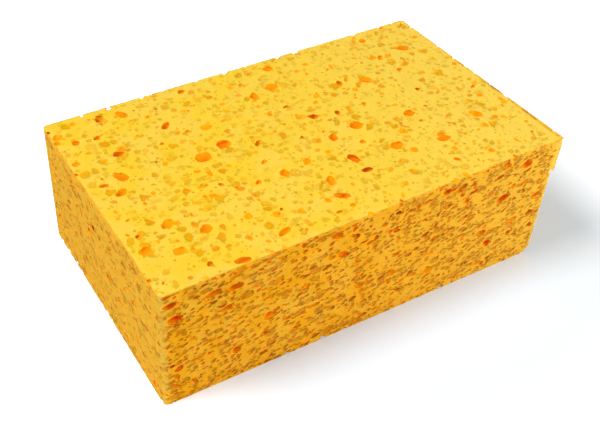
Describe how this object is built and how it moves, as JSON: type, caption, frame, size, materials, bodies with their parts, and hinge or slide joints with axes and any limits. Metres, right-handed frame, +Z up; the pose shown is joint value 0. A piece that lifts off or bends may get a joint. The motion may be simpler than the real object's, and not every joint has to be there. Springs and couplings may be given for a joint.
{
  "type": "cleaning sponge",
  "caption": "Block of yellow cellulose foam with open lens-shaped pores, cut square, for wiping and washing by hand.",
  "frame": {"origin": "middle of the underside, on the surface that the block lies on", "axes": "+X along the length, towards the torn end; +Y across the width, away from the front; +Z up through the thickness"},
  "size_m": [0.15, 0.09, 0.0515],
  "materials": {
    "foam": "matt open-cell cellulose foam, amber inside the pores"
  },
  "bodies": {
    "root": {"sponge": "foam"}
  },
  "joints": []
}
